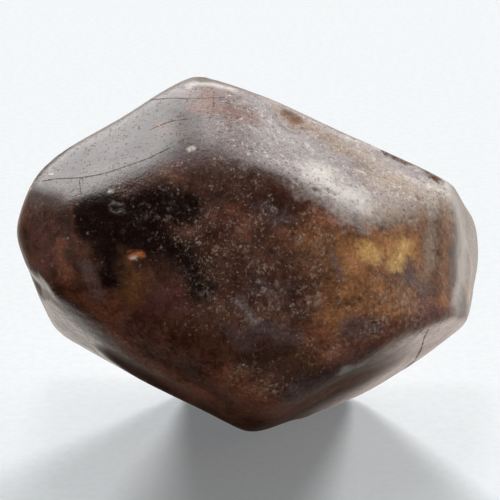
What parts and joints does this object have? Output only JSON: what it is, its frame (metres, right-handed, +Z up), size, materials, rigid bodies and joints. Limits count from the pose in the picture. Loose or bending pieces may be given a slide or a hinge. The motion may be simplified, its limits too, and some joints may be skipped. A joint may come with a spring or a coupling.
{
  "type": "zircon crystal",
  "caption": "Loose water-worn zircon crystal, dark reddish brown, a short prism with pyramid faces and rounded edges, lying on a small worn flat.",
  "frame": {"origin": "under the middle of the stone's box, at the height of the flat that it lies on", "axes": "+X along the stone's length towards its right end, -Y towards the broad front prism face, +Z up"},
  "size_m": [0.0206, 0.0126, 0.015],
  "materials": {
    "zircon": "dark reddish-brown crystal with a glassy lustre, frosted along its worn upper edge, with amber windows"
  },
  "bodies": {
    "root": {"zircon_crystal": "zircon"}
  },
  "joints": []
}
